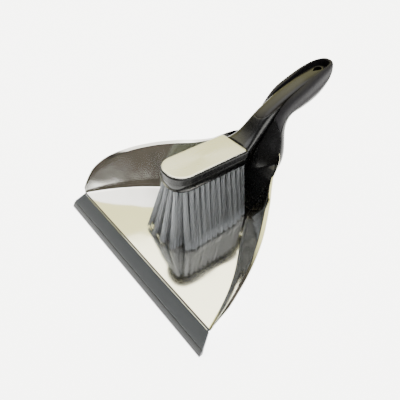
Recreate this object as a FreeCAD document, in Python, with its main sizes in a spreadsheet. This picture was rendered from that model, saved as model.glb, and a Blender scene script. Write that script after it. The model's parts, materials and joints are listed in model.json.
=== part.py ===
import FreeCAD, Part
import math
import os
import Sketcher

Vector = FreeCAD.Vector
doc = FreeCAD.newDocument("dust_pan_and_brush_set")

# driving sizes, in millimetres and degrees
sheet = doc.addObject("Spreadsheet::Sheet", "Sizes")
drivingSizes = [
    ("panWidth", 240, "pan across the front lip"),
    ("panDepth", 158, "pan floor, front lip to the fold at the back"),
    ("rimHeight", 55, "rim of the side walls above the ground"),
    ("sheetGauge", 0.8, "stainless sheet"),
    ("crestHeight", 14.8, "steel floor above the ground just behind the lip"),
    ("wallLean", 18, "side walls lean outwards from upright"),
    ("foldRadius", 3, "bend between floor and walls"),
    ("flangeWidth", 5.2, "flat turned-out edge of the walls"),
    ("lipDepth", 17.5, "front to back"),
    ("lipLeg", 1.5, "thickness of each leg of the lip clip"),
    ("gripLength", 92, "pan grip, front of the loop to the end"),
    ("gripHalfWidth", 17.0, "pan grip, centre to side"),
    ("softRimDepth", 16.0, "depth of the soft shell at the middle of the loop"),
    ("headLength", 88, "brush head front to back"),
    ("headWidth", 39, "brush head side to side"),
    ("headShell", 7.6, "moulded head under the steel plate"),
    ("blockHeight", 8, "bristle block"),
    ("plateGauge", 0.8, "steel plate on the head"),
    ("padGauge", 0.3, "adhesive pad under the plate"),
    ("bristleLength", 61.5, "free length below the block"),
    ("tuftRoot", 4.2, "diameter of a tuft in its hole"),
    ("tuftTip", 7.0, "diameter of a tuft at its tip"),
    ("tuftPitch", 6.5, "along the head"),
    ("rowPitch", 6.2, "across the head"),
    ("holeDepth", 6.5, "tuft holes in the block"),
    ("fitGap", 0.6, "brush handle to the trough of the pan grip"),
    ("rivetShank", 4, "handle rivet diameter"),
    ("rivetHead", 9, "handle rivet head diameter"),
    ("screwShank", 2.2, "block screw diameter"),
    ("screwHead", 4.2, "block screw head diameter"),
    ("liftTravel", 90, "brush lifts straight up out of the pan"),
]
for row, (name, value, note) in enumerate(drivingSizes, start=1):
    sheet.set("A%d" % row, name)
    sheet.set("B%d" % row, str(value))
    sheet.setAlias("B%d" % row, name)
    sheet.set("C%d" % row, note)
doc.recompute()


def size(name):
    return float(sheet.get(name))


panWidth = size("panWidth")
panDepth = size("panDepth")
gauge = size("sheetGauge")
lean = math.tan(math.radians(size("wallLean")))
leanCos = math.cos(math.radians(size("wallLean")))
widthScale = panWidth / 240.0
depthScale = panDepth / 158.0
rimScale = size("rimHeight") / 55.0
finished = {}

# the pan's floor plane
# The steel floor starts high behind the lip and slopes down until its fold touches the ground at the back.
floorStart = size("lipDepth") - 0.5
floorSlope = (size("crestHeight") - gauge) / (panDepth - floorStart)
floorTilt = -math.degrees(math.atan(floorSlope))
floorFrame = FreeCAD.Placement(Vector(0, floorStart, size("crestHeight")),
                               FreeCAD.Rotation(Vector(1, 0, 0), floorTilt))
alongFloor = floorFrame.Rotation.multVec(Vector(0, 1, 0))
awayFromFloor = floorFrame.Rotation.multVec(Vector(0, 0, 1))


def floorHeight(y):
    return size("crestHeight") - floorSlope * (y - floorStart)


def feature(label, shape):
    item = doc.addObject("Part::Feature", label)
    item.Label = label
    item.Shape = shape
    finished[label] = item
    return item


def bind(item, label, **expressions):
    for prop, expression in expressions.items():
        item.setExpression(prop, expression)
    if label:
        item.Label = label
        finished[label] = item
    return item


# outlines with rounded corners
def offsetCorners(corners, distance):
    # corners run anticlockwise; every side moves outwards by the distance
    count = len(corners)
    sides = []
    for i in range(count):
        a = corners[i]
        b = corners[(i + 1) % count]
        length = math.hypot(b[0] - a[0], b[1] - a[1])
        ux = (b[0] - a[0]) / length
        uy = (b[1] - a[1]) / length
        sides.append((a[0] + uy * distance, a[1] - ux * distance, ux, uy))
    moved = []
    for i in range(count):
        x1, y1, ux1, uy1 = sides[i - 1]
        x2, y2, ux2, uy2 = sides[i]
        cross = ux1 * uy2 - uy1 * ux2
        s = ((x2 - x1) * uy2 - (y2 - y1) * ux2) / cross
        moved.append((x1 + ux1 * s, y1 + uy1 * s, cross))
    return moved


def roundedWire(corners, radii, distance, height):
    moved = offsetCorners(corners, distance)
    count = len(moved)
    starts = []
    for i in range(count):
        x, y, turn = moved[i]
        px, py = moved[i - 1][:2]
        nx, ny = moved[(i + 1) % count][:2]
        radius = radii[i]
        if radius > 0:
            radius = radius + distance if turn > 0 else radius - distance
        inLength = math.hypot(x - px, y - py)
        outLength = math.hypot(nx - x, ny - y)
        inX, inY = (x - px) / inLength, (y - py) / inLength
        outX, outY = (nx - x) / outLength, (ny - y) / outLength
        angle = math.acos(max(-1.0, min(1.0, inX * outX + inY * outY)))
        reach = radius * math.tan(angle / 2)
        before = Vector(x - inX * reach, y - inY * reach, height)
        after = Vector(x + outX * reach, y + outY * reach, height)
        middle = None
        if radius > 0:
            bisect = Vector(outX - inX, outY - inY, 0).normalize()
            gapToArc = radius / math.cos(angle / 2) - radius
            middle = Vector(x, y, height) + bisect * gapToArc
        starts.append((before, middle, after))
    edges = []
    for i in range(count):
        before, middle, after = starts[i]
        if middle is not None:
            edges.append(Part.Arc(before, middle, after).toShape())
        edges.append(Part.makeLine(after, starts[(i + 1) % count][0]))
    return Part.Wire(edges)


# fold line of the pan floor, in the floor plane, from the front right corner round to the left
depthOnFloor = (panDepth - floorStart) / math.cos(math.radians(floorTilt))
k = depthOnFloor / 141.7
rightFold = [(122.3 * widthScale, -25 * k), (93.6 * widthScale, 44 * k),
             (29 * widthScale, 124 * k), (20 * widthScale, 141.7 * k)]
rightRadii = [0, 240 * min(widthScale, k), 30, 12 * min(widthScale, 1)]
foldCorners = rightFold + [(-x, v) for x, v in reversed(rightFold)]
foldRadii = rightRadii + list(reversed(rightRadii))


# rim height above the ground, front to back
def rimLine(extra=0.0):
    heights = [(17.3, 19.5), (19, 21.8), (27.7, 30.5), (36.4, 37), (45.5, 42), (55, 45.8), (66, 48.6),
               (79, 51.3),
               (92.5, 53.2), (106, 54.6), (122, 55), (138, 54.6), (152, 56.2), (168, 60.5), (186, 66)]
    return [Vector(0, y * depthScale, z * rimScale + extra) for y, z in heights]


rimCurve = Part.BSplineCurve()
rimCurve.interpolate(rimLine())


def rimHeightAt(y):
    pts = rimLine()
    for a, b in zip(pts, pts[1:]):
        if a.y <= y <= b.y:
            return a.z + (b.z - a.z) * (y - a.y) / (b.y - a.y)
    return pts[0].z if y < pts[0].y else pts[-1].z


# pressed steel tray
wallTop = 85 * rimScale
innerVolume = Part.makeLoft([roundedWire(foldCorners, foldRadii, 0, 0),
                             roundedWire(foldCorners, foldRadii, lean * wallTop, wallTop)], True, True)
outerDrop = gauge / leanCos - lean * gauge
outerVolume = Part.makeLoft([roundedWire(foldCorners, foldRadii, outerDrop, -gauge),
                             roundedWire(foldCorners, foldRadii, lean * wallTop + gauge / leanCos,
                                         wallTop)],
                            True, True)


def filletBottom(solid, radius, level):
    edges = []
    for edge in solid.Edges:
        box = edge.BoundBox
        if abs(box.ZMin - level) < 1e-6 and abs(box.ZMax - level) < 1e-6 and box.YMax > -20 * k:
            edges.append(edge)
    rounded = solid.makeFillet(radius, edges)
    return rounded if rounded.isValid() else solid


innerVolume = filletBottom(innerVolume, size("foldRadius"), 0)
outerVolume = filletBottom(outerVolume, size("foldRadius") + gauge, -gauge)
for volume in (innerVolume, outerVolume):
    volume.Placement = floorFrame
shell = outerVolume.cut(innerVolume)

# everything above the rim line comes off, and everything in front of the floor's start
rimTop = [Vector(0, 300 * depthScale, rimLine()[-1].z), Vector(0, 300 * depthScale, 200),
          Vector(0, -60, 200),
          Vector(0, -60, rimLine()[0].z)]
ends = rimCurve.toShape().Vertexes
aboveRim = Part.Face(Part.Wire([rimCurve.toShape(), Part.makeLine(ends[-1].Point, rimTop[0]),
                                Part.makeLine(rimTop[0], rimTop[1]), Part.makeLine(rimTop[1], rimTop[2]),
                                Part.makeLine(rimTop[2], rimTop[3]), Part.makeLine(rimTop[3],
                                                                                   ends[0].Point)]))
aboveRim.translate(Vector(-panWidth, 0, 0))
shell = shell.cut(aboveRim.extrude(Vector(2 * panWidth, 0, 0)))
frontBox = Part.makeBox(2 * panWidth, 200, 400, Vector(-panWidth, floorStart - 200, -100))
shell = shell.cut(frontBox)

# the front edge of the floor is bent down the back of the lip
lipRise = math.atan2(size("crestHeight") - 4.4 + 1.0, size("lipDepth") - 3.2)
hemLength = 13.5
hemRun = hemLength * math.cos(lipRise)
hemDrop = hemLength * math.sin(lipRise)
hemHalf = 109.5 * widthScale
hemTop = size("crestHeight")
hemSide = [Vector(0, floorStart + 0.6, floorHeight(floorStart + 0.6) - gauge),
           Vector(0, floorStart + 0.6, floorHeight(floorStart + 0.6)),
           Vector(0, floorStart, hemTop),
           Vector(0, floorStart - hemRun, hemTop - hemDrop),
           Vector(0, floorStart - hemRun + gauge * math.sin(lipRise),
                  hemTop - hemDrop - gauge * math.cos(lipRise)),
           Vector(0, floorStart + 0.25, hemTop - gauge - 0.02)]
hem = Part.Face(Part.makePolygon(hemSide + hemSide[:1]))
hem.translate(Vector(-hemHalf, 0, 0))
shell = shell.fuse(hem.extrude(Vector(2 * hemHalf, 0, 0)))


# position on the fold line and the outward direction there, by distance walked from the front right corner
def walkFold(samples):
    wire = roundedWire(foldCorners, foldRadii, 0, 0)
    half = []
    for edge in wire.Edges:
        for point in edge.discretize(40):
            if point.x > 0 and point.y > -24 * k:
                half.append(point)
    half = [p for i, p in enumerate(half) if i == 0 or (p - half[i - 1]).Length > 1e-4]
    stations = []
    for i in range(1, len(half) - 1):
        along = (half[i + 1] - half[i - 1]).normalize()
        stations.append((half[i], Vector(along.y, -along.x, 0)))
    return stations


def rimStation(point, outward):
    # climb the leaning wall from the fold until the rim line is met
    height = 0.0
    for step in range(60):
        local = point + outward * (lean * height) + Vector(0, 0, height)
        place = floorFrame.multVec(local)
        height += (rimHeightAt(place.y) - place.z) * 0.8
    return point + outward * (lean * height) + Vector(0, 0, height)


flangeTilt = math.radians(26)
flangeStations = []
lastY = -100.0
for point, outward in walkFold(40):
    local = rimStation(point, outward)
    y = floorFrame.multVec(local).y
    if 20.5 * depthScale <= y <= 170 * depthScale and y - lastY > 5.0 * depthScale:
        flangeStations.append((local, outward, y / depthScale))
        lastY = y


def flangeWire(local, outward, y, side):
    grow = min(1.0, (y - 17.0) / 16.0)
    fade = max(0.0, min(1.0, (y - 128.0) / 44.0))
    width = size("flangeWidth") * grow * (1.0 - 0.9 * fade ** 1.3)
    across = outward * math.cos(flangeTilt) + Vector(0, 0, math.sin(flangeTilt))
    up = Vector(0, 0, math.cos(flangeTilt)) - outward * math.sin(flangeTilt)
    root = local + outward * (0.18 * gauge) - Vector(0, 0, 0.35)
    corners = [root, root + across * width, root + across * width - up * gauge, root - up * gauge]
    placed = [floorFrame.multVec(c) for c in corners]
    placed = [Vector(side * c.x, c.y, c.z) for c in placed]
    return Part.makePolygon(placed + placed[:1])


for side in (1, -1):
    wires = [flangeWire(local, outward, y, side) for local, outward, y in flangeStations]
    shell = shell.fuse(Part.makeLoft(wires, True, True))
trayShape = shell

# sections for the moulded handles
def moulded(sections):
    # each section: centre y and z, lie of the spine in degrees, half width, height above and below the
    # centre, squareness above and below (2 is an ellipse)
    wires = []
    count = 24
    for y, z, angle, half, above, below, sharpTop, sharpBottom in sections:
        tilt = math.radians(angle)
        up = Vector(0, -math.sin(tilt), math.cos(tilt))
        points = []
        for i in range(count):
            turn = 2 * math.pi * i / count
            c = math.cos(turn)
            s = math.sin(turn)
            power = 2.0 / (sharpTop if s >= 0 else sharpBottom)
            across = half * math.copysign(abs(c) ** power, c)
            lift = (above if s >= 0 else below) * math.copysign(abs(s) ** power, s)
            points.append(Vector(across, y, z) + up * lift)
        curve = Part.BSplineCurve()
        curve.interpolate(points, PeriodicFlag=True)
        wires.append(Part.Wire(curve.toShape()))
    solid = Part.makeLoft(wires, True, False)
    if solid.Volume < 0:
        solid.reverse()
    return solid


backShift = (panDepth - 158.0)
gripStretch = size("gripLength") / 92.0
gripHalf = size("gripHalfWidth") / 17.0


def gripY(y):
    # the stem keeps its shape when the pan or the grip changes length
    return y + backShift if y < 198 else 198 + (y - 198) * gripStretch + backShift


rise = (size("headShell") + size("blockHeight") - 15.6) + (size("bristleLength") - 61.5)

# brush handle: centre line of the moulding from the back of the head to the tip
brushSections = [
    (140, 73.6, -5, 18.2, 6.6, 6.4, 3.2, 3.2),
    (150, 74.0, 6, 16.2, 7.0, 6.6, 3.0, 2.8),
    (160, 76.6, 22, 13.2, 7.8, 7.4, 2.8, 2.5),
    (171, 82.6, 31, 11.2, 8.0, 8.0, 2.8, 2.4),
    (184, 91.0, 31, 9.8, 8.2, 8.4, 2.8, 2.4),
    (198, 98.0, 24, 9.2, 6.8, 8.6, 2.9, 2.4),
    (212, 102.6, 16, 9.3, 6.4, 8.8, 3.0, 2.4),
    (228, 106.2, 10, 9.3, 6.5, 9.4, 3.0, 2.4),
    (243, 109.0, 6, 9.1, 6.4, 9.6, 3.0, 2.4),
    (255, 110.6, 4, 8.9, 5.9, 8.4, 3.0, 2.4),
    (262, 111.6, 2, 8.5, 5.5, 6.8, 3.0, 2.4),
    (268, 112.6, 0, 7.4, 4.8, 5.4, 2.8, 2.4),
    (272, 113.2, 0, 5.2, 4.0, 4.4, 2.5, 2.3),
    (274.4, 113.6, 0, 2.4, 3.0, 3.2, 2.2, 2.2),
]
brushSections = [(gripY(y), z + rise) + tuple(rest) for y, z, *rest in brushSections]
brushHandleRaw = moulded(brushSections)

gap = size("fitGap")
nest = [(y, z, angle, half + gap, above, below + gap, sharpTop, sharpBottom)
        for y, z, angle, half, above, below, sharpTop, sharpBottom in brushSections[3:-1]]
endY, endZ, endAngle = brushSections[-1][:3]
nest.append((endY + gap, endZ, endAngle, 2.0, 2.6, 2.4, 2.0, 2.0))
nestBottom = moulded(nest)


def plotLine(points):
    curve = Part.BSplineCurve()
    curve.interpolate(points)
    return curve.toShape()


def closedFace(edge, corners):
    # a face bounded by one curve and straight runs through the corners
    first = edge.Vertexes[0].Point
    last = edge.Vertexes[-1].Point
    chain = [last] + corners + [first]
    return Part.Face(Part.Wire([edge] + [Part.makeLine(p, q) for p, q in zip(chain, chain[1:])]))


# the trough is open above: its plan outline carried straight up from the widest line of the brush handle
troughPlan = [(171, 12.1), (184, 10.7), (198, 10.0), (212, 10.0), (228, 10.0), (243, 9.8), (255, 9.6),
              (262, 9.4),
              (268, 8.9), (273, 8.0), (276.6, 6.4), (278.8, 3.8)]
planHalf = [Vector(half + gap - 0.6, gripY(y), 0) for y, half in troughPlan]
troughEnd = gripY(280.0)
planEdges = [plotLine(planHalf), plotLine([Vector(-p.x, p.y, 0) for p in planHalf]),
             Part.Arc(planHalf[-1], Vector(0, troughEnd, 0),
                      Vector(-planHalf[-1].x, planHalf[-1].y, 0)).toShape(),
             Part.makeLine(Vector(-planHalf[0].x, planHalf[0].y, 0), planHalf[0])]
planPrism = Part.Face(Part.Wire(Part.__sortEdges__(planEdges))).extrude(Vector(0, 0, 220))
widest = plotLine([Vector(0, y, z) for y, z, *rest in nest[:-1]] + [Vector(0, nest[-1][0] + 6,
                                                                           nest[-1][1])])
above = closedFace(widest, [Vector(0, nest[-1][0] + 6, 200), Vector(0, nest[0][0], 200)])
above.translate(Vector(-60, 0, 0))
troughOpen = planPrism.common(above.extrude(Vector(120, 0, 0)))

# pan handle: root, stem and grip in one moulding
panHandleSections = [
    (162, 30, 60, 26, 14, 8, 1.8, 2.3),
    (172, 45, 60, 31, 16.5, 13, 1.8, 2.3),
    (180.5, 57.5, 60, 32, 18.5, 16.5, 1.8, 2.3),
    (188.5, 68, 60, 26.5, 17, 15.5, 1.9, 2.3),
    (195, 77, 60, 20.5, 15, 12.5, 2.2, 2.3),
    (200.5, 84.8, 55, 16.8 * gripHalf, 13.4, 11, 2.8, 2.4),
    (209.5, 93.6, 40, 15.8 * gripHalf, 11.6, 10.0, 4.0, 2.5),
    (221, 98.6, 24, 17.0 * gripHalf, 12.2, 12.4, 4.8, 2.5),
    (236, 101.8, 13, 17.0 * gripHalf, 13.0, 14.4, 5.4, 2.5),
    (250, 104.2, 10, 16.0 * gripHalf, 14.4, 15.0, 5.4, 2.5),
    (262, 107.0, 9, 14.5 * gripHalf, 14.0, 13.4, 5.4, 2.5),
    (271, 110.2, 8, 12.9 * gripHalf, 11.9, 11.8, 5.0, 2.4),
    (277, 113.2, 6, 11.0 * gripHalf, 9.0, 9.8, 4.4, 2.3),
    (280.8, 116.0, 4, 8.6 * gripHalf, 6.1, 7.2, 4.0, 2.2),
    (283.2, 118.6, 2, 5.0 * gripHalf, 3.4, 4.4, 3.2, 2.1),
]
panHandleSections = [(gripY(y), z + rise) + tuple(rest) for y, z, *rest in panHandleSections]
handleSolid = moulded(panHandleSections)

# the root fills the neck of the tray
plugSide = [Vector(0, 146 + backShift, -3), Vector(0, 148 + backShift, 26 * rimScale),
            Vector(0, 152 + backShift, 40 * rimScale), Vector(0, 158 + backShift, 48 * rimScale),
            Vector(0, 168 + backShift, 54 * rimScale), Vector(0, 184 + backShift, 58 * rimScale),
            Vector(0, 230 + backShift, 58 * rimScale), Vector(0, 230 + backShift, -3)]
plug = Part.Face(Part.makePolygon(plugSide + plugSide[:1]))
plug.translate(Vector(-panWidth, 0, 0))
plug = plug.extrude(Vector(2 * panWidth, 0, 0)).common(innerVolume)
handleSolid = handleSolid.fuse(plug)
handleSolid = handleSolid.cut(troughOpen)
handleSolid = handleSolid.cut(nestBottom)
grooveStart = Vector(0, 150 + backShift, 40 + rise)
grooveEnd = Vector(0, 186 + backShift, 98 + rise)
groove = Part.makeCylinder(10.5, (grooveEnd - grooveStart).Length, grooveStart, grooveEnd - grooveStart)
handleSolid = handleSolid.cut(groove)
handleSolid = handleSolid.cut(trayShape)
biggest = max(handleSolid.Solids, key=lambda s: s.Volume)
handleSolid = biggest

# soft rim: the upper shell of the loop
softLine = [(192, 79.0), (199, 86.0), (206, 91.2), (214, 94.8), (222, 97.0), (231, 98.0), (241, 99.6),
            (251, 101.8),
            (260, 104.6), (268, 107.6), (276, 110.6), (296, 117.6)]
lower = [Vector(0, gripY(y), z + rise - size("softRimDepth") + 16.0) for y, z in softLine]
softCurve = Part.BSplineCurve()
softCurve.interpolate(lower)
softFace = closedFace(softCurve.toShape(), [Vector(0, lower[-1].y, 170 + rise),
                                            Vector(0, lower[0].y, 170 + rise)])
softFace.translate(Vector(-60, 0, 0))
softVolume = softFace.extrude(Vector(120, 0, 0))
softRim = handleSolid.common(softVolume)
softRim = max(softRim.Solids, key=lambda s: s.Volume)
panHandle = handleSolid.cut(softRim)

# handle rivets through the steel
rivetShank = size("rivetShank")
rivetHead = size("rivetHead")


def rivet(wallPoint, outward):
    # wallPoint is on the inside of the steel; the head sits outside, the shank runs into the handle
    headBase = wallPoint + outward * gauge
    shank = Part.makeCylinder(rivetShank / 2, gauge + 11, headBase, outward * -1)
    dome = Part.makeSphere(rivetHead * 0.9, headBase + outward * (2.0 - rivetHead * 0.9))
    disc = Part.makeCylinder(rivetHead / 2, 4, headBase, outward)
    return shank.fuse(dome.common(disc))


def wallPlace(x, v, outX, outV, height):
    # a point on the leaning wall above the fold, and the wall's outward normal, both in the row frame
    flat = math.hypot(outX, outV)
    out = Vector(outX / flat, outV / flat, 0)
    local = Vector(x, v, 0) + out * (lean * height) + Vector(0, 0, height)
    normal = (out * math.cos(math.atan(lean)) - Vector(0, 0, math.sin(math.atan(lean)))).normalize()
    return floorFrame.multVec(local), floorFrame.Rotation.multVec(normal)


neckX = (rightFold[2][0] + rightFold[3][0]) / 2
neckV = (rightFold[2][1] + rightFold[3][1]) / 2
neckRun = (rightFold[3][0] - rightFold[2][0], rightFold[3][1] - rightFold[2][1])
rivetPlaces = [wallPlace(neckX, neckV + 3, neckRun[1], -neckRun[0], 26 * rimScale),
               wallPlace(-neckX, neckV + 3, -neckRun[1], -neckRun[0], 26 * rimScale),
               wallPlace(0, rightFold[3][1], 0, 1, 24 * rimScale)]
rivets = [rivet(point, normal) for point, normal in rivetPlaces]
for item in rivets:
    trayShape = trayShape.cut(item)
    panHandle = panHandle.cut(item)

tray = feature("steel_tray", trayShape)
panHandleItem = feature("pan_handle", panHandle)
softRimItem = feature("pan_grip_soft_rim", softRim)
rivetItem = feature("handle_rivets", Part.makeCompound(rivets))

# front lip: a clip leg and a soft blade
legs = size("lipLeg")
upSlope = Vector(0, math.cos(lipRise), math.sin(lipRise))
offSlope = Vector(0, -math.sin(lipRise), math.cos(lipRise))
hemEdge = Vector(0, floorStart - hemRun, hemTop - hemDrop)
bendTop = Vector(0, floorStart, hemTop)
clipTopBack = bendTop + offSlope * 0.2 + Vector(0, 1.2, 1.05)
clipTopFront = hemEdge - upSlope * 1.6 + offSlope * legs
clipLowFront = hemEdge - upSlope * 1.6 - offSlope * (gauge + legs)
clipLowBack = clipLowFront + upSlope * (hemLength - 1.0)
slotLow = hemEdge - offSlope * gauge
slotBack = slotLow + upSlope * (hemLength - 1.0)


def sideSketchBody(label, outline, widthAlias):
    # outline in the YZ plane, padded both ways across the pan
    body = doc.addObject("PartDesign::Body", label + "_body")
    sketch = body.newObject("Sketcher::SketchObject", label + "_outline")
    plane = [f for f in body.Origin.OriginFeatures if f.Role == "YZ_Plane"][0]
    sketch.AttachmentSupport = [(plane, "")]
    sketch.MapMode = "FlatFace"
    for a, b in zip(outline, outline[1:] + outline[:1]):
        sketch.addGeometry(Part.LineSegment(Vector(a.y, a.z, 0), Vector(b.y, b.z, 0)), False)
    count = len(outline)
    for i in range(count):
        sketch.addConstraint(Sketcher.Constraint("Coincident", i, 2, (i + 1) % count, 1))
    pad = body.newObject("PartDesign::Pad", label + "_pad")
    pad.Profile = sketch
    pad.SideType = "Symmetric"
    pad.setExpression("Length", "Sizes." + widthAlias)
    body.Tip = pad
    return body


bladeTip = [Vector(0, 0, 0), Vector(0, 4.2, 0), clipLowFront + Vector(0, 0.4, 0), clipLowFront,
            clipTopFront,
            Vector(0, 0, 0.9)]
clipOutline = [clipTopFront, clipTopBack, bendTop + Vector(0, 1.2, -floorSlope * 1.2), bendTop, hemEdge,
               slotLow,
               slotBack, clipLowBack, clipLowFront]
clipBody = sideSketchBody("lip_clip", clipOutline, "panWidth")
bladeBody = sideSketchBody("lip_blade", bladeTip, "panWidth")
doc.recompute()


# both ends are cut on the slant of the pan's sides
def slantEnds(body):
    sketch = body.newObject("Sketcher::SketchObject", body.Name + "_ends")
    plane = [f for f in body.Origin.OriginFeatures if f.Role == "XY_Plane"][0]
    sketch.AttachmentSupport = [(plane, "")]
    sketch.MapMode = "FlatFace"
    half = panWidth / 2
    base = 0
    for side in (1, -1):
        corner = [Vector(side * half, 0.0, 0), Vector(side * (half - 9.2), 19.0, 0),
                  Vector(side * (half + 6), 19.0, 0),
                  Vector(side * (half + 6), 0.0, 0)]
        for i in range(4):
            sketch.addGeometry(Part.LineSegment(corner[i], corner[(i + 1) % 4]), False)
        for i in range(4):
            sketch.addConstraint(Sketcher.Constraint("Coincident", base + i, 2, base + (i + 1) % 4, 1))
        base += 4
    cut = body.newObject("PartDesign::Pocket", body.Name + "_cut")
    cut.Profile = sketch
    cut.Type = "ThroughAll"
    cut.Midplane = True
    body.Tip = cut


for body, label in ((clipBody, "lip_clip"), (bladeBody, "lip_blade")):
    slantEnds(body)
    body.Label = label
    finished[label] = body
doc.recompute()

# brush head
headFront = 60.0 + backShift * 0.5
headFrame = FreeCAD.Placement(Vector(0, headFront, 0), FreeCAD.Rotation(Vector(1, 0, 0), floorTilt))
lift = floorHeight(headFront) + (size("bristleLength") + 0.4) / math.cos(math.radians(floorTilt))
headFrame.Base = Vector(0, headFront, lift)
headLength = size("headLength")
headHalf = size("headWidth") / 2


def headWire(inset, height, front=0.0, back=0.0):
    half = headHalf - inset
    corners = [(half, inset + front), (half, headLength - inset - back),
               (-half, headLength - inset - back),
               (-half, inset + front)]
    radii = [half * 0.9, 3.0, 3.0, half * 0.9]
    return roundedWire(corners, radii, 0, height)


def headBody(label, inset, back, alias, height):
    # a flat piece of the head: outline on its own plane, thickness from the sheet
    body = doc.addObject("PartDesign::Body", label + "_body")
    sketch = body.newObject("Sketcher::SketchObject", label + "_outline")
    plane = [f for f in body.Origin.OriginFeatures if f.Role == "XY_Plane"][0]
    sketch.AttachmentSupport = [(plane, "")]
    sketch.MapMode = "FlatFace"
    for edge in headWire(inset, 0, 0, back).Edges:
        if edge.Curve.TypeId == "Part::GeomCircle":
            sketch.addGeometry(Part.ArcOfCircle(edge.Curve, edge.FirstParameter, edge.LastParameter),
                               False)
        else:
            a, b = [vertex.Point for vertex in edge.Vertexes]
            sketch.addGeometry(Part.LineSegment(a, b), False)
    pad = body.newObject("PartDesign::Pad", label + "_pad")
    pad.Profile = sketch
    pad.setExpression("Length", "Sizes." + alias)
    body.Tip = pad
    body.Placement = FreeCAD.Placement(headFrame.multVec(Vector(0, 0, height)), headFrame.Rotation)
    return body


block = size("blockHeight")
shellTop = block + size("headShell")
padTop = shellTop + size("padGauge")
padBody = headBody("plate_adhesive_pad", 2.2, 2.0, "padGauge", shellTop)
plateBody = headBody("brush_top_plate", 1.2, 1.0, "plateGauge", padTop)
doc.recompute()
for body, label in ((padBody, "plate_adhesive_pad"), (plateBody, "brush_top_plate")):
    body.Label = label
    finished[label] = body

# tufts: where each one leaves the block and ends
tuftRadius = size("tuftRoot") / 2
tipRadius = size("tuftTip") / 2
columns = 13
rowOffsets = [-2.5, -1.5, -0.5, 0.5, 1.5, 2.5]
rowNames = {-2.5: "bristles_left_outer", -1.5: "bristles_left_middle", -0.5: "bristles_left_centre",
            0.5: "bristles_right_centre", 1.5: "bristles_right_middle", 2.5: "bristles_right_outer"}
tuftShapes = {}
holes = []
anchors = []
firstRoot = 5.2
tipFirst = -11.5
tipSpan = (headLength - 88.0) + 91.0
for column in range(columns):
    share = column / (columns - 1.0)
    rootV = firstRoot + size("tuftPitch") * column
    tipV = tipFirst + tipSpan * share
    for offset in rowOffsets:
        if column == 0 and abs(offset) > 2:
            continue
        rootX = offset * size("rowPitch")
        if column == 1 and abs(offset) > 2:
            rootX = rootX * 0.92
        flare = 1.16 - 0.22 * share - 0.30 * max(0.0, (share - 0.85) / 0.15)
        tipX = rootX * (1 + flare)
        # the front tufts fan round the rounded end of the head
        bow = (abs(offset) / 2.5) ** 2 * 9.0 * (1 - share) ** 3
        root = Vector(rootX, rootV, 0)
        tip = Vector(tipX, tipV + bow, -size("bristleLength"))
        axis = (tip - root).normalize()
        inner = root - axis * size("holeDepth")
        reach = (tip - root).Length + 4
        slim = (tipRadius - tuftRadius) / (tip - root).Length
        side = [Vector(0, 0, 0), Vector(tuftRadius, 0, 0), Vector(tuftRadius, 0, size("holeDepth")),
                Vector(tuftRadius + slim * reach, 0, size("holeDepth") + reach),
                Vector(0, 0, size("holeDepth") + reach)]
        tuft = Part.Face(Part.makePolygon(side + side[:1])).revolve(Vector(0, 0, 0), Vector(0, 0, 1), 360)
        turn = FreeCAD.Rotation(Vector(0, 0, 1), axis)
        tuft.Placement = FreeCAD.Placement(inner, turn)
        keep = Part.makeBox(160, 200, 120, Vector(-80, -60, -size("bristleLength")))
        tuft = tuft.common(keep)
        if column == 0:
            node = "bristles_front"
        elif column == columns - 1:
            node = "bristles_back"
        else:
            node = rowNames[offset]
        tuft.Placement = headFrame.multiply(tuft.Placement)
        tuftShapes.setdefault(node, []).append(tuft)
        hole = Part.makeCylinder(tuftRadius, size("holeDepth") + 1.0 + 2.0, inner - axis * 1.0, axis)
        hole.Placement = headFrame.multiply(hole.Placement)
        holes.append(hole)
        strip = Part.makeBox(0.5, tuftRadius * 1.7, 1.0, Vector(-0.25, -tuftRadius * 0.85, 0))
        strip.Placement = headFrame.multiply(FreeCAD.Placement(inner - axis * 1.0, turn))
        anchors.append(strip)

# the block screws stand between the two centre rows
screwHead = size("screwHead")
screwShank = size("screwShank")
screwPlaces = [firstRoot + size("tuftPitch") * c for c in (1.5, 5.5, 10.5)]
screwBodies = []
screwCuts = []
for v in screwPlaces:
    top = shellTop - 0.3
    head = Part.makeCylinder(screwHead / 2, 2.0, Vector(0, v, top - 2.0))
    shank = Part.makeCylinder(screwShank / 2, size("headShell") + 4.0,
                              Vector(0, v, top - 2.0 - size("headShell") - 4.0))
    slotA = Part.makeBox(3.4, 0.8, 1.0, Vector(-1.7, v - 0.4, top - 1.0))
    slotB = Part.makeBox(0.8, 3.4, 1.0, Vector(-0.4, v - 1.7, top - 1.0))
    screw = head.fuse(shank)
    relief = Part.makeCylinder(screwHead / 2, 1.0, Vector(0, v, top))
    for shape in (screw, relief, slotA, slotB):
        shape.Placement = headFrame.multiply(shape.Placement)
    screwCuts.append(screw.fuse(relief))
    screwBodies.append(screw.cut(slotA).cut(slotB))

blockShape = Part.Face(headWire(0.9, 0)).extrude(Vector(0, 0, block))
blockShape = blockShape.makeChamfer(0.8, [e for e in blockShape.Edges if e.BoundBox.ZMax < 1e-6])
blockShape.Placement = headFrame
blockShape = blockShape.cut(Part.makeCompound(holes))
blockShape = blockShape.cut(Part.makeCompound(screwCuts))

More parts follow.
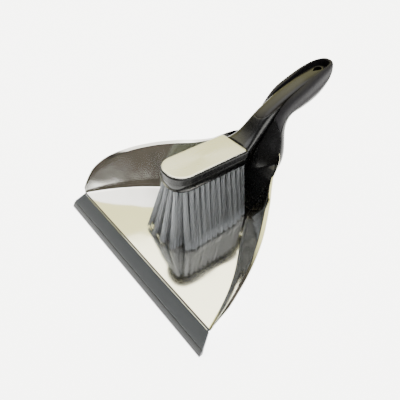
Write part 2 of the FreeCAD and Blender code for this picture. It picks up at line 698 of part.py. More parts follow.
headShape = Part.Face(headWire(0, 0)).extrude(Vector(0, 0, size("headShell")))
headShape = headShape.makeFillet(1.0, [e for e in headShape.Edges if e.BoundBox.ZMin > size("headShell") - 1e-6])
headShape.Placement = FreeCAD.Placement(headFrame.multVec(Vector(0, 0, block)), headFrame.Rotation)
bodyShape = headShape.fuse(brushHandleRaw)
underHead = Part.makeBox(100, headLength + 4, 60, Vector(-50, -2, block - 60))
underHead.Placement = headFrame
bodyShape = bodyShape.cut(underHead)
overHead = Part.makeBox(100, headLength + 2, 30, Vector(-50, -2, shellTop))
overHead.Placement = headFrame
bodyShape = bodyShape.cut(overHead)
bodyShape = bodyShape.cut(Part.makeCompound(screwCuts))

# hanging hole: a teardrop through the grip near its tip
holeY = gripY(266.4)
holeRadius = 3.9
holeTail = 7.6
dropWire = Part.Wire([Part.Arc(Vector(holeRadius * 0.93, holeY - holeRadius * 0.36, 0),
                               Vector(0, holeY + holeRadius, 0),
                               Vector(-holeRadius * 0.93, holeY - holeRadius * 0.36, 0)).toShape(),
                      Part.makeLine(Vector(-holeRadius * 0.93, holeY - holeRadius * 0.36, 0),
                                    Vector(-0.4, holeY - holeTail, 0)),
                      Part.makeLine(Vector(-0.4, holeY - holeTail, 0), Vector(0.4, holeY - holeTail, 0)),
                      Part.makeLine(Vector(0.4, holeY - holeTail, 0),
                                    Vector(holeRadius * 0.93, holeY - holeRadius * 0.36, 0))])
drop = Part.Face(dropWire).extrude(Vector(0, 0, 200 + rise))

# gloss insert: the leaf-shaped top of the grip, from the neck to the tip
splitLine = [(172, 94.6), (180, 97.0), (190, 98.9), (200, 100.6), (210, 102.8), (220, 105.4),
             (232, 108.3), (245, 110.6),
             (258, 112.0), (268, 112.8), (290, 114.0)]
splitPoints = [Vector(0, gripY(y), z + rise) for y, z in splitLine]
splitCurve = Part.BSplineCurve()
splitCurve.interpolate(splitPoints)
splitFace = closedFace(splitCurve.toShape(), [Vector(0, splitPoints[-1].y, 190 + rise),
                                              Vector(0, splitPoints[0].y, 190 + rise)])
splitFace.translate(Vector(-60, 0, 0))
splitVolume = splitFace.extrude(Vector(120, 0, 0))
bodyShape = bodyShape.cut(drop)
insertShape = bodyShape.common(splitVolume)
insertShape = max(insertShape.Solids, key=lambda s: s.Volume)
bodyShape = bodyShape.cut(insertShape)
bodyShape = max(bodyShape.Solids, key=lambda s: s.Volume)

feature("brush_handle", bodyShape)
feature("brush_grip_insert", insertShape)
feature("bristle_block", blockShape)
feature("block_screws", Part.makeCompound(screwBodies))
feature("tuft_anchors", Part.makeCompound(anchors))
for node, tufts in tuftShapes.items():
    feature(node, Part.makeCompound(tufts))

# set the origin under the middle, check and write
doc.recompute()
overallBack = max(panHandle.optimalBoundingBox().YMax, softRim.optimalBoundingBox().YMax)
toMiddle = FreeCAD.Placement(Vector(0, -overallBack / 2, 0), FreeCAD.Rotation())
for item in finished.values():
    item.Placement = toMiddle.multiply(item.Placement)
doc.recompute()
print("moved back by %.4f" % (overallBack / 2))
for item in doc.Objects:
    if "Invalid" in item.State or "Error" in item.State:
        raise RuntimeError("%s did not build: %s" % (item.Label, item.State))
os.makedirs("parts", exist_ok=True)
for label, item in sorted(finished.items()):
    shape = item.Shape
    if shape.isNull() or not shape.isValid():
        raise RuntimeError("%s has a bad shape" % label)
    box = shape.BoundBox
    print("%-24s solids %3d volume %9.1f  x %7.1f %7.1f  y %6.1f %6.1f  z %6.1f %6.1f" % (
        label, len(shape.Solids), shape.Volume, box.XMin, box.XMax, box.YMin, box.YMax, box.ZMin, box.ZMax))
    shape.exportStep("parts/%s.step" % label)
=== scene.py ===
import bpy
import bmesh
import json
import math
import random
from mathutils import Matrix, Vector, noise

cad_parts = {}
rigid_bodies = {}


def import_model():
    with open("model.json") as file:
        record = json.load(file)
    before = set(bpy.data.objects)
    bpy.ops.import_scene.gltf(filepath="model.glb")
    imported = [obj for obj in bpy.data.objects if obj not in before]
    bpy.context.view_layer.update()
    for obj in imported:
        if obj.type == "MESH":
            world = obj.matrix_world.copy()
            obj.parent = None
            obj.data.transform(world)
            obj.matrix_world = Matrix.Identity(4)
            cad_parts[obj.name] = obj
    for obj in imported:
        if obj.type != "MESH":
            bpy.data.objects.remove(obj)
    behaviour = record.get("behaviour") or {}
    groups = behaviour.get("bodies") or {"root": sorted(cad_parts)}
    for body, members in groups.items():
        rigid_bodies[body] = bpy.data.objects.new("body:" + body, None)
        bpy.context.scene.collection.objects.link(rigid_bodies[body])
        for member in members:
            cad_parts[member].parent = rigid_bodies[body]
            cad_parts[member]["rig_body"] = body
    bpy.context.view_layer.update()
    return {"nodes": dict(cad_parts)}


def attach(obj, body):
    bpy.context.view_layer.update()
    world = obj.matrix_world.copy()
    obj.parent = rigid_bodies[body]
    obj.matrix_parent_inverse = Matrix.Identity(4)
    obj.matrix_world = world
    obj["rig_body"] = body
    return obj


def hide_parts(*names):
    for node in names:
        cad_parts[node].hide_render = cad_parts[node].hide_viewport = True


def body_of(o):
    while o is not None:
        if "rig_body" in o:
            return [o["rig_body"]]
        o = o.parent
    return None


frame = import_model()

print("frame loaded")

mm = 0.001
lipToMiddle = 141.677  # mm from the lip's front edge back to the origin
dice = random.Random(11)


def place(x, y, z):
    # millimetres with y counted back from the lip's front edge, to the row frame in metres
    return Vector((x * mm, (y - lipToMiddle) * mm, z * mm))


# small tools
def toLinear(hexColour):
    channels = [int(hexColour[i:i + 2], 16) / 255.0 for i in (1, 3, 5)]
    return tuple(c / 12.92 if c <= 0.04045 else ((c + 0.055) / 1.055) ** 2.4 for c in channels) + (1.0,)


def addNode(tree, kind, settings=None, **inputs):
    # settings are the node's own options, inputs are values or (node, output) links, by socket name
    item = tree.nodes.new(kind)
    for key, value in (settings or {}).items():
        setattr(item, key, value)
    for key, value in inputs.items():
        name = key.replace("_", " ")
        socket = item.inputs[int(name[1:])] if name[0] == "i" and name[1:].isdigit() else item.inputs[name]
        if isinstance(value, tuple) and len(value) == 2 and hasattr(value[0], "outputs"):
            tree.links.new(value[0].outputs[value[1]], socket)
        else:
            socket.default_value = value
    return item


def newMaterial(name):
    material = bpy.data.materials.new(name)
    material.use_nodes = True
    tree = material.node_tree
    tree.nodes.clear()
    shader = tree.nodes.new("ShaderNodeBsdfPrincipled")
    output = tree.nodes.new("ShaderNodeOutputMaterial")
    tree.links.new(shader.outputs["BSDF"], output.inputs["Surface"])
    return material, tree, shader


def setShader(shader, **values):
    for key, value in values.items():
        shader.inputs[key.replace("_", " ")].default_value = value


def noiseRange(tree, scale, low, high, detail=3.0, stretch=(1, 1, 1)):
    # object-space noise in 1/metre, remapped from low to high
    where = addNode(tree, "ShaderNodeTexCoord")
    mapped = addNode(tree, "ShaderNodeMapping", Vector=(where, "Object"), Scale=stretch)
    cloud = addNode(tree, "ShaderNodeTexNoise", Vector=(mapped, "Vector"), Scale=scale, Detail=detail)
    return addNode(tree, "ShaderNodeMapRange", Value=(cloud, "Fac"), From_Min=0.3, From_Max=0.7,
                   To_Min=low, To_Max=high)


def addBump(tree, shader, height, distance, strength=1.0):
    bump = addNode(tree, "ShaderNodeBump", Height=height, Distance=distance, Strength=strength)
    tree.links.new(bump.outputs["Normal"], shader.inputs["Normal"])
    return bump


def meshObject(name, points, faces, material, body, smooth=True):
    mesh = bpy.data.meshes.new(name)
    mesh.from_pydata([tuple(p) for p in points], [], faces)
    mesh.update()
    if smooth:
        mesh.shade_smooth()
    item = bpy.data.objects.new(name, mesh)
    bpy.context.scene.collection.objects.link(item)
    mesh.materials.append(material)
    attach(item, body)
    return item


def bake(item):
    # the modifiers' result becomes the mesh
    graph = bpy.context.evaluated_depsgraph_get()
    made = bpy.data.meshes.new_from_object(item.evaluated_get(graph))
    item.modifiers.clear()
    old = item.data
    item.data = made
    bpy.data.meshes.remove(old)


def modifier(item, kind, **settings):
    added = item.modifiers.new(kind.lower(), kind)
    for key, value in settings.items():
        setattr(added, key, value)
    return added


def softened(nodeName, newName, material, voxel, rounds):
    # the moulded piece as it leaves the tool: the CAD solid with its edges rounded over
    source = frame["nodes"][nodeName]
    item = bpy.data.objects.new(newName, source.data.copy())
    bpy.context.scene.collection.objects.link(item)
    modifier(item, "REMESH", mode="VOXEL", voxel_size=voxel * mm, use_smooth_shade=True)
    modifier(item, "SMOOTH", factor=0.5, iterations=rounds)
    bake(item)
    item.data.materials.clear()
    item.data.materials.append(material)
    item.data.shade_smooth()
    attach(item, body_of(source)[0])
    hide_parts(nodeName)
    return item


# materials
# Stainless sheet, polished to a mirror; faint long waves from pressing and a trace of wiping haze.
polish = {"colour": "#dcdbd6", "roughness": (0.07, 0.12), "waveSize": 34.0, "waveHeight": 0.12}
polishedSteel, tree, shader = newMaterial("polished_steel")
setShader(shader, Base_Color=toLinear(polish["colour"]), Metallic=1.0)
haze = noiseRange(tree, 28.0, *polish["roughness"])
tree.links.new(haze.outputs["Result"], shader.inputs["Roughness"])
waves = noiseRange(tree, polish["waveSize"], 0.0, 1.0, detail=1.0)
addBump(tree, shader, (waves, "Result"), polish["waveHeight"] * mm)

# Stainless plate with a lengthways satin brush, as from a belt.
satin = {"colour": "#c6c5c0", "roughness": (0.26, 0.36), "brushScale": 900.0}
brushedSteel, tree, shader = newMaterial("brushed_steel")
setShader(shader, Base_Color=toLinear(satin["colour"]), Metallic=1.0, Anisotropic=0.5)
streak = noiseRange(tree, satin["brushScale"], *satin["roughness"], stretch=(1.0, 0.02, 1.0))
tree.links.new(streak.outputs["Result"], shader.inputs["Roughness"])
addBump(tree, shader, (streak, "Result"), 0.01 * mm)

# Plain steel rivets, tumbled.
rivetSteel, tree, shader = newMaterial("rivet_steel")
setShader(shader, Base_Color=toLinear("#b0b0b0"), Metallic=1.0, Roughness=0.32)

# Zinc-plated screws.
screwZinc, tree, shader = newMaterial("screw_zinc")
setShader(shader, Base_Color=toLinear("#b9bcc2"), Metallic=1.0, Roughness=0.35)

# Drawn anchor wire.
anchorWire, tree, shader = newMaterial("anchor_wire")
setShader(shader, Base_Color=toLinear("#a8a8a6"), Metallic=1.0, Roughness=0.4)

# Black polypropylene moulding with a fine sheen off the tool.
blackPlastic, tree, shader = newMaterial("black_plastic")
setShader(shader, Base_Color=toLinear("#0e0e0f"), IOR=1.49, Specular_IOR_Level=0.25)
sheen = noiseRange(tree, 350.0, 0.22, 0.34)
tree.links.new(sheen.outputs["Result"], shader.inputs["Roughness"])

# Black block moulding, from a polished tool.
glossBlack, tree, shader = newMaterial("gloss_black")
setShader(shader, Base_Color=toLinear("#080808"), Roughness=0.2, IOR=1.4)

# Charcoal gloss insert of the grip.
glossCharcoal, tree, shader = newMaterial("gloss_charcoal")
setShader(shader, Base_Color=toLinear("#191714"), Roughness=0.3, IOR=1.45, Specular_IOR_Level=0.22)

# Soft-touch over-moulding, spark-eroded fine grain.
softGrip, tree, shader = newMaterial("soft_grip")
setShader(shader, Base_Color=toLinear("#18171a"), Roughness=0.7, IOR=1.5, Specular_IOR_Level=0.2)
grain = noiseRange(tree, 2600.0, 0.0, 1.0, detail=2.0)
addBump(tree, shader, (grain, "Result"), 0.04 * mm)

# Extruded grey lip clip: dull skin with faint lines along the extrusion.
lipGrey, tree, shader = newMaterial("lip_grey")
setShader(shader, Base_Color=toLinear("#3e4145"), IOR=1.5)
drawn = noiseRange(tree, 1500.0, 0.38, 0.52, stretch=(0.01, 1.0, 1.0))
tree.links.new(drawn.outputs["Result"], shader.inputs["Roughness"])
addBump(tree, shader, (drawn, "Result"), 0.03 * mm)

# Softer blade welded to the clip, slightly darker and duller.
lipGreySoft, tree, shader = newMaterial("lip_grey_soft")
setShader(shader, Base_Color=toLinear("#27292b"), Roughness=0.42, IOR=1.5)

# Grey polyester filament.
bristleGrey, tree, shader = newMaterial("bristle_grey")
setShader(shader, Base_Color=toLinear("#9a9ea2"), Roughness=0.34, IOR=1.57)

# Foam tape.
adhesive, tree, shader = newMaterial("adhesive")
setShader(shader, Base_Color=toLinear("#d4d2cc"), Roughness=0.8)

keepsCadShape = {"handle_rivets": rivetSteel, "block_screws": screwZinc, "tuft_anchors": anchorWire,
                 "plate_adhesive_pad": adhesive}
for name, material in keepsCadShape.items():
    mesh = frame["nodes"][name].data
    mesh.materials.clear()
    mesh.materials.append(material)
    mesh.shade_smooth()
    mesh.set_sharp_from_angle(angle=math.radians(32))
print("materials made")

# steel tray
tray = {"gauge": 0.8, "lean": math.tan(math.radians(18)), "foldRadius": 3.2, "flangeWidth": 4.5,
        "tiltFront": 40.0, "tiltBack": 26.0, "tiltFrom": 45.0, "tiltOver": 50.0,
        "fadeFrom": 128.0, "fadeTo": 172.0, "step": 1.6}
crest, lipDepth, panDepth = 14.8, 17.5, 158.0
floorStart = lipDepth - 0.5
floorSlope = (crest - tray["gauge"]) / (panDepth - floorStart)
floorTilt = math.atan(floorSlope)


def onFloor(x, v, w):
    # floor coordinates (across, back along the floor, away from the floor) to the row frame
    return place(x, floorStart + v * math.cos(floorTilt) + w * math.sin(floorTilt),
                 crest - v * math.sin(floorTilt) + w * math.cos(floorTilt))


rimHeights = [(14, 17.0), (17.3, 19.5), (19, 21.8), (27.7, 30.5), (36.4, 37), (45.5, 42), (55, 45.8),
              (66, 48.6), (79, 51.3),
              (92.5, 53.2), (106, 54.6), (122, 55), (138, 54.6), (152, 56.2), (168, 60.5), (186,
                                                                                            66), (200,
                                                                                                  70)]


def smoothThrough(table, at):
    # Catmull-Rom through (position, values...) rows
    i = 1
    while i < len(table) - 2 and table[i + 1][0] < at:
        i += 1
    p0, p1, p2, p3 = table[i - 1], table[i], table[i + 1], table[min(i + 2, len(table) - 1)]
    t = max(0.0, min(1.0, (at - p1[0]) / (p2[0] - p1[0])))
    out = []
    for c in range(1, len(p1)):
        m1 = (p2[c] - p0[c]) / (p2[0] - p0[0]) * (p2[0] - p1[0])
        m2 = (p3[c] - p1[c]) / max(1e-9, p3[0] - p1[0]) * (p2[0] - p1[0])
        out.append((2 * t ** 3 - 3 * t ** 2 + 1) * p1[c] + (t ** 3 - 2 * t ** 2 + t) * m1
                   + (-2 * t ** 3 + 3 * t ** 2) * p2[c] + (t ** 3 - t ** 2) * m2)
    return out


def foldStations():
    # the fold line's right half from the front corner to the middle of the back: (point, outward direction)
    corners = [Vector((122.3, -25)), Vector((93.6, 44)), Vector((29, 124)), Vector((20, 141.7)),
               Vector((0, 141.7))]
    radii = [0, 240, 30, 12, 0]
    path = []
    last = corners[0]
    for i in range(1, len(corners)):
        here = corners[i]
        direction = (here - corners[i - 1]).normalized()
        outward = Vector((direction.y, -direction.x))
        if i == len(corners) - 1:
            reach = 0.0
        else:
            onward = (corners[i + 1] - here).normalized()
            bend = math.acos(max(-1, min(1, direction.dot(onward))))
            reach = radii[i] * math.tan(bend / 2)
        end = here - direction * reach
        count = max(1, int((end - last).length / tray["step"]))
        for s in range(count):
            path.append((last + (end - last) * s / count, outward))
        if reach > 0:
            turn = 1 if direction.x * onward.y - direction.y * onward.x > 0 else -1
            centre = end - outward * radii[i] * turn
            count = max(3, int(radii[i] * bend / tray["step"]), int(math.degrees(bend) / 5))
            for s in range(count):
                swing = turn * bend * s / count
                spun = Matrix.Rotation(swing, 2) @ outward
                path.append((centre + spun * radii[i] * turn, spun))
            last = here + onward * reach
        else:
            path.append((end, outward))
    # the walls begin exactly at the floor's front bend
    first = next(i for i, (p, n) in enumerate(path) if p.y > 0.3)
    before, after = path[first - 1][0], path[first][0]
    return [(before.lerp(after, -before.y / (after.y - before.y)), path[first][1])] + path[first:]


def trayProfile(point, outward):
    # inside skin from the floor up the wall and out along the flange, as (outward distance, height)
    climb = 10.0
    for _ in range(40):
        base = point + outward * tray["lean"] * climb
        y = floorStart + base.y * math.cos(floorTilt) + climb * math.sin(floorTilt)
        z = crest - base.y * math.sin(floorTilt) + climb * math.cos(floorTilt)
        climb += (smoothThrough(rimHeights, y)[0] - z) * 0.8
    lean = math.atan(tray["lean"])
    radius = min(tray["foldRadius"], climb * 0.4)
    reach = radius * math.tan((math.pi / 2 - lean) / 2)
    skin = [(-reach - 0.3, 0.0)]
    for s in range(9):
        a = (math.pi / 2 - lean) * s / 8
        skin.append((-reach + radius * math.sin(a), radius * (1 - math.cos(a))))
    grow = max(0.0, min(1.0, (y - 17.0) / 16.0))
    fade = max(0.0, min(1.0, (y - tray["fadeFrom"]) / (tray["fadeTo"] - tray["fadeFrom"])))
    width = tray["flangeWidth"] * grow * (1.0 - 0.95 * fade ** 1.3)
    grow *= 1.0 - 0.8 * fade
    settle = max(0.0, min(1.0, (y - tray["tiltFrom"]) / tray["tiltOver"]))
    tilt = math.radians(tray["tiltFront"] + (tray["tiltBack"] - tray["tiltFront"]) * settle)
    bendAngle = math.pi / 2 - lean - tilt
    bendRadius = 1.6 * max(0.15, grow)
    bendReach = bendRadius * math.tan(bendAngle / 2)
    rimBase = Vector((tray["lean"] * climb, climb))
    alongWall = Vector((math.sin(lean), math.cos(lean)))
    start = rimBase - alongWall * bendReach
    low = Vector(skin[-1])
    for s in range(1, 6):
        p = low + (start - low) * s / 6
        skin.append(tuple(p))
    skin.append(tuple(start))
    centre = start + Vector((math.cos(lean), -math.sin(lean))) * bendRadius
    for s in range(1, 6):
        a = bendAngle * s / 5
        arm = Matrix.Rotation(-a, 2) @ (start - centre)
        skin.append(tuple(centre + arm))
    alongFlange = Vector((math.cos(tilt), math.sin(tilt)))
    bendEnd = Vector(skin[-1])
    for s in (0.5, 1.0):
        skin.append(tuple(bendEnd + alongFlange * max(0.02, width - bendReach) * s))
    return skin


rightSide = foldStations()
stations = [(p, n, 1) for p, n in rightSide] + [(p, n, -1) for p, n in reversed(rightSide[:-1])]
points = []
for p, n, side in stations:
    for out, up in trayProfile(p, n):
        points.append(onFloor(side * (p.x + n.x * out), p.y + n.y * out, up))
rowLength = len(points) // len(stations)
faces = []
for i in range(len(stations) - 1):
    for j in range(rowLength - 1):
        a = i * rowLength + j
        faces.append((a, a + 1, a + rowLength + 1, a + rowLength))
floorFace = len(faces)
faces.append(tuple(i * rowLength for i in range(len(stations))))
# the front edge of the floor, bent down inside the lip
lipRise = math.atan2(crest - 4.4 + 1.0, lipDepth - 3.2)
frontLeft = len(points)
edgeHalf = 109.5
hemRows = []
for s in range(7):
    if s == 0:
        y, z = floorStart + 0.5, crest - 0.5 * floorSlope
    elif s <= 3:
        a = lipRise * s / 3
        y, z = floorStart + 0.4 - 1.2 * math.sin(a), crest - 0.04 - 1.2 * (1 - math.cos(a))
    else:
        run = (s - 3) / 3 * 12.6
        y = floorStart + 0.4 - 1.2 * math.sin(lipRise) - run * math.cos(lipRise)
        z = crest - 0.04 - 1.2 * (1 - math.cos(lipRise)) - run * math.sin(lipRise)
    hemRows.append((y, z))
for y, z in hemRows:
    points.append(place(edgeHalf, y, z))
    points.append(place(-edgeHalf, y, z))
for s in range(len(hemRows) - 1):
    a = frontLeft + s * 2
    faces.append((a, a + 1, a + 3, a + 2))
steel = meshObject("steel_tray_sheet", points, faces, polishedSteel, "pan")
steel.data.polygons[floorFace].use_smooth = False
modifier(steel, "SOLIDIFY", thickness=tray["gauge"] * mm, offset=-1.0)
bake(steel)
steel.data.set_sharp_from_angle(angle=math.radians(50))
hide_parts("steel_tray")
print("tray made", len(steel.data.polygons))

# front lip
legs = 1.5
lipEnds = {"halfWidth": 120.0, "slant": 0.486, "corner": 3.0}


def rounded2d(corners, radius):
    # a closed outline with every corner rounded
    out = []
    for i in range(len(corners)):
        before = Vector(corners[i - 1])
        here = Vector(corners[i])
        after = Vector(corners[(i + 1) % len(corners)])
        r = radius[i] if isinstance(radius, (list, tuple)) else radius
        r = min(r, (before - here).length * 0.45, (after - here).length * 0.45)
        a = here + (before - here).normalized() * r
        b = here + (after - here).normalized() * r
        for s in range(4):
            t = s / 3
            out.append(a * (1 - t) ** 2 + here * 2 * t * (1 - t) + b * t ** 2)
    return out


def lipPiece(name, outline, material, node):
    count = 60
    rings = []
    for s in range(count + 1):
        share = -1 + 2 * s / count
        ring = []
        for p in outline:
            half = lipEnds["halfWidth"] - lipEnds["slant"] * p.x
            if p.x < lipEnds["corner"]:
                short = lipEnds["corner"] - p.x
                half -= lipEnds["corner"] - math.sqrt(max(0.0, lipEnds["corner"] ** 2 - short ** 2))
            ring.append(place(half * share, p.x, p.y))
        rings.append(ring)
    n = len(outline)
    pts = [p for ring in rings for p in ring]
    fcs = [(i * n + j, i * n + (j + 1) % n, (i + 1) * n + (j + 1) % n, (i + 1) * n + j)
           for i in range(count) for j in range(n)]
    fcs.append(tuple(reversed(range(n))))
    fcs.append(tuple(count * n + j for j in range(n)))
    item = meshObject(name, pts, fcs, material, "pan")
    item.data.set_sharp_from_angle(angle=math.radians(40))
    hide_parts(node)
    return item


rise2 = Vector((math.cos(lipRise), math.sin(lipRise)))
off2 = Vector((-math.sin(lipRise), math.cos(lipRise)))
hemEdge = Vector((floorStart - 13.5 * rise2.x, crest - 13.5 * rise2.y))
bendTop = Vector((floorStart, crest))
clipTopBack = bendTop + off2 * 0.2 + Vector((1.2, 1.05))
clipTopFront = hemEdge - rise2 * 1.6 + off2 * legs
clipLowFront = hemEdge - rise2 * 1.6 - off2 * (tray["gauge"] + legs)
clipLowBack = clipLowFront + rise2 * 12.5
slotLow = hemEdge - off2 * (tray["gauge"] + 0.05) - rise2 * 0.4
slotTop = hemEdge + off2 * 0.05 - rise2 * 0.4
slotBack = slotLow + rise2 * 12.9
clipOutline = rounded2d([clipTopFront, clipTopBack, bendTop + Vector((1.2, 0.05 - floorSlope * 1.2)),
                         bendTop + off2 * 0.05, slotTop, slotLow, slotBack, clipLowBack, clipLowFront],
                        [0.5, 0.5, 0.2, 0.4, 0.1, 0.1, 0.1, 0.4, 0.3])
bladeOutline = rounded2d([Vector((0.0, 0.0)), Vector((4.2, 0.0)), clipLowFront + Vector((0.35, 0)),
                          clipLowFront + off2 * 0.05 - rise2 * 0.05, clipTopFront - rise2 * 0.1 - off2 * 1.3,
                          clipTopFront - rise2 * 0.9 - off2 * 0.3, Vector((0.0, 0.9))],
                         [0.3, 0.3, 0.2, 0.1, 0.1, 0.25, 0.4])
lipPiece("lip_clip_extrusion", clipOutline, lipGrey, "lip_clip")
lipPiece("lip_blade_extrusion", bladeOutline, lipGreySoft, "lip_blade")
print("lip made")

# handles
softened("pan_handle", "pan_handle_moulding", blackPlastic, 0.55, 26)
softened("pan_grip_soft_rim", "pan_grip_soft_rim_moulding", softGrip, 0.4, 10)
softened("brush_handle", "brush_handle_moulding", blackPlastic, 0.38, 12)
softened("brush_grip_insert", "brush_grip_insert_moulding", glossCharcoal, 0.35, 8)
print("handles made")

# brush head
headFront, bristleLength = 60.0, 61.5
headLift = (crest - floorSlope * (headFront - floorStart)) + (bristleLength + 0.4) / math.cos(floorTilt)
blockHeight, headShell, padGauge, plateGauge = 8.0, 7.6, 0.3, 0.8
headLength, headHalf = 88.0, 19.5


def onHead(x, v, w):
    return place(x, headFront + v * math.cos(floorTilt) + w * math.sin(floorTilt),
                 headLift - v * math.sin(floorTilt) + w * math.cos(floorTilt))


def headOutline(inset, back, perCorner=14):
    half = headHalf - inset
    corners = [(half, inset, half * 0.9), (half, headLength - inset - back, 3.0),
               (-half, headLength - inset - back, 3.0), (-half, inset, half * 0.9)]
    out = []
    starts = [-90, 0, 90, 180]
    for (x, v, r), a0 in zip(corners, starts):
        cx = x - math.copysign(r, x)
        cv = v + r if v < 40 else v - r
        for s in range(perCorner + 1):
            a = math.radians(a0 + 90 * s / perCorner)
            out.append(Vector((cx + r * math.cos(a), cv + r * math.sin(a))))
    return out


def plateMesh(name, inset, back, low, thick, edge, dome, material, node):
    # a flat plate with a rounded top edge; dome lifts the middle by a trace
    rows = []
    for shrink, height in ((0.15, 0.0), (0.0, 0.15), (0.0, thick - edge),
                           (edge * 0.3, thick - edge * 0.3), (edge, thick),
                           (edge + 2.0, thick + dome * 0.5), (edge + 6.0, thick + dome)):
        ring = headOutline(inset + shrink, back)
        rows.append([onHead(p.x, p.y, low + height) for p in ring])
    n = len(rows[0])
    pts = [p for ring in rows for p in ring]
    fcs = [(i * n + j, i * n + (j + 1) % n, (i + 1) * n + (j + 1) % n, (i + 1) * n + j)
           for i in range(len(rows) - 1) for j in range(n)]
    fcs.append(tuple(reversed(range(n))))
    fcs.append(tuple((len(rows) - 1) * n + j for j in range(n)))
    item = meshObject(name, pts, fcs, material, "brush")
    item.data.set_sharp_from_angle(angle=math.radians(50))
    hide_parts(node)
    return item


plateMesh("bristle_block_moulding", 0.9, 0.0, 0.0, blockHeight, 0.3, 0.0, glossBlack, "bristle_block")
plateMesh("brush_top_plate_pressing", 1.2, 1.0, blockHeight + headShell + padGauge, plateGauge, 0.35,
          0.0, brushedSteel,
          "brush_top_plate")

# bristles
tufts = {"pitch": 6.5, "rowPitch": 6.2, "rootRadius": 1.85, "tipRadius": 3.4, "perTuft": 60,
         "thickness": 0.17,
         "segments": 5, "sides": 3, "unruly": 0.9, "lengthSpread": 1.6}
rowNodes = {-2.5: "bristles_left_outer", -1.5: "bristles_left_middle", -0.5: "bristles_left_centre",
            0.5: "bristles_right_centre", 1.5: "bristles_right_middle", 2.5: "bristles_right_outer"}
columns = 13


def tuftEnds(column, offset):
    share = column / (columns - 1.0)
    rootX = offset * tufts["rowPitch"] * (0.92 if column == 1 and abs(offset) > 2 else 1.0)
    flare = 1.16 - 0.22 * share - 0.30 * max(0.0, (share - 0.85) / 0.15)
    bow = (abs(offset) / 2.5) ** 2 * 9.0 * (1 - share) ** 3
    root = Vector((rootX, 5.2 + tufts["pitch"] * column, 0.0))
    tip = Vector((rootX * (1 + flare), -11.5 + 91.0 * share + bow, -bristleLength))
    return root, tip


filaments = {}
for column in range(columns):
    for offset, rowNode in rowNodes.items():
        if column == 0 and abs(offset) > 2:
            continue
        nodeName = "bristles_front" if column == 0 else "bristles_back" if column == columns - 1 else rowNode
        pts, fcs = filaments.setdefault(nodeName, ([], []))
        root, tip = tuftEnds(column, offset)
        axis = (tip - root).normalized()
        inner = root - axis * 5.0
        for k in range(tufts["perTuft"]):
            # sunflower spacing fills the round tuft evenly
            r = math.sqrt((k + 0.5) / tufts["perTuft"])
            a = k * 2.39996 + dice.uniform(-0.2, 0.2)
            across = Vector((r * math.cos(a), r * math.sin(a), 0))
            start = inner + across * tufts["rootRadius"]
            end = tip + across * tufts["tipRadius"] + Vector((dice.gauss(0, 0.35), dice.gauss(0, 0.35),
                                                              0)) * tufts["unruly"]
            end.z = -bristleLength + 1.0 + abs(dice.gauss(0, 0.6)) * tufts["lengthSpread"]
            bulge = Vector((dice.gauss(0, 0.5), dice.gauss(0, 0.5), 0)) * tufts["unruly"]
            bulge -= Vector((across.x, across.y, 0)) * 0.5
            spin = dice.uniform(0, math.tau)
            base = len(pts)
            for s in range(tufts["segments"] + 1):
                t = s / tufts["segments"]
                centre = start.lerp(end, t) + bulge * 4 * t * (1 - t) * t
                thick = tufts["thickness"] * (1.0 if t < 0.9 else 0.85)
                for c in range(tufts["sides"]):
                    turn = spin + c * math.tau / tufts["sides"]
                    q = centre + Vector((math.cos(turn), math.sin(turn), 0)) * thick
                    pts.append(onHead(q.x, q.y, q.z))
            n = tufts["sides"]
            for s in range(tufts["segments"]):
                for c in range(n):
                    a0 = base + s * n + c
                    a1 = base + s * n + (c + 1) % n
                    fcs.append((a0, a0 + n, a1 + n, a1))
            fcs.append(tuple(base + tufts["segments"] * n + c for c in range(n)))
for nodeName, (pts, fcs) in filaments.items():
    item = meshObject(nodeName + "_filaments", pts, fcs, bristleGrey, "brush")
    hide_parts(nodeName)
print("bristles made", sum(len(f) for p, f in filaments.values()))

# floor, light and camera
# a pale shooting table lit from below
stageLook = {"floor": "#f4f4f2", "glow": 4.8}
floorMaterial, tree, shader = newMaterial("stage_floor")
setShader(shader, Base_Color=toLinear(stageLook["floor"]), Roughness=0.9, Emission_Color=(1, 1, 1, 1),
          Emission_Strength=stageLook["glow"])
half = 6.0
mesh = bpy.data.meshes.new("stage_floor")
mesh.from_pydata([(-half, -half, 0), (half, -half, 0), (half, half, 0), (-half, half, 0)], [],
                 [(0, 1, 2, 3)])
floor = bpy.data.objects.new("stage_floor", mesh)
floor.location.z = -0.0004
mesh.materials.append(floorMaterial)
bpy.context.scene.collection.objects.link(floor)

# a dim studio with two bright cloths, one overhead and a cream one behind on the left
studio = {"around": ("#8d8578", "#33322f", 0.75),
          "cloths": [("#f8f3b0", 2.7, (-0.585, 0.54, 0.604), 0.70, 0.90),
                                                            ("#ffffff", 6.0, (0.30, 0.22, 0.93), 0.86,
                                                             0.96)]}
world = bpy.data.worlds.new("studio")
bpy.context.scene.world = world
world.use_nodes = True
tree = world.node_tree
tree.nodes.clear()


def glow(colour, strength):
    return tuple(c * strength for c in toLinear(colour)[:3]) + (1.0,)


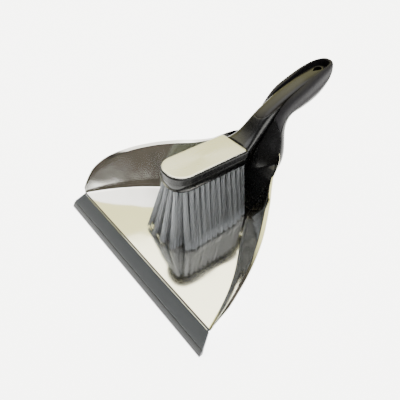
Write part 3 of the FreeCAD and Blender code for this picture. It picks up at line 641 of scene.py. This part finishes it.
direction = addNode(tree, "ShaderNodeTexCoord")
lightWall, darkWall, level = studio["around"]
patches = addNode(tree, "ShaderNodeTexNoise", Vector=(direction, "Generated"), Scale=2.2, Detail=1.0)
spread = addNode(tree, "ShaderNodeMapRange", Value=(patches, "Fac"), From_Min=0.35, From_Max=0.65)
sky = addNode(tree, "ShaderNodeMix", {"data_type": "RGBA"}, i0=(spread, "Result"),
              i6=glow(darkWall, level),
              i7=glow(lightWall, level))
for colour, strength, towards, edge, full in studio["cloths"]:
    facing = addNode(tree, "ShaderNodeVectorMath", {"operation": "DOT_PRODUCT"},
                     i0=(direction, "Generated"),
                     i1=towards)
    cloth = addNode(tree, "ShaderNodeMapRange", {"interpolation_type": "SMOOTHSTEP"},
                    Value=(facing, "Value"),
                    From_Min=edge, From_Max=full)
    sky = addNode(tree, "ShaderNodeMix", {"data_type": "RGBA"}, i0=(cloth, "Result"), i6=(sky, 2),
                  i7=glow(colour, strength))
background = addNode(tree, "ShaderNodeBackground", Color=(sky, 2), Strength=1.0)
output = tree.nodes.new("ShaderNodeOutputWorld")
tree.links.new(background.outputs["Background"], output.inputs["Surface"])


def softbox(name, at, towards, width, height, power, colour):
    light = bpy.data.lights.new(name, "AREA")
    light.shape = "RECTANGLE"
    light.size = width
    light.size_y = height
    light.energy = power
    light.color = toLinear(colour)[:3]
    item = bpy.data.objects.new(name, light)
    item.location = at
    item.rotation_euler = (Vector(towards) - Vector(at)).to_track_quat("-Z", "Y").to_euler()
    bpy.context.scene.collection.objects.link(item)
    return item


softbox("key_softbox", (-0.5, 0.2, 1.3), (0, 0, 0), 1.2, 1.2, 14.0, "#fffdf6")

# the view: right of the lip and above it, tipped a little clockwise
viewpoint = {"at": (0.2463, -0.0748 - lipToMiddle * mm, 0.3253), "azimuth": 54.93, "elevation": 44.32,
             "roll": 5.09, "lens": 36.30}
camera = bpy.data.objects.new("camera", bpy.data.cameras.new("camera"))
bpy.context.scene.collection.objects.link(camera)
camera.data.lens = viewpoint["lens"]
camera.data.sensor_width = 36.0
camera.data.clip_start = 0.01
azimuth, elevation, roll = (math.radians(viewpoint[key]) for key in ("azimuth", "elevation", "roll"))
forward = Vector((-math.sin(azimuth) * math.cos(elevation), math.cos(azimuth) * math.cos(elevation),
                  -math.sin(elevation)))
level = Vector((math.cos(azimuth), math.sin(azimuth), 0))
down = forward.cross(level)
right = level * math.cos(roll) + down * math.sin(roll)
up = right.cross(forward)
camera.matrix_world = Matrix.Translation(viewpoint["at"]) @ Matrix((right, up,
                                                                    -forward)).transposed().to_4x4()
bpy.context.scene.camera = camera
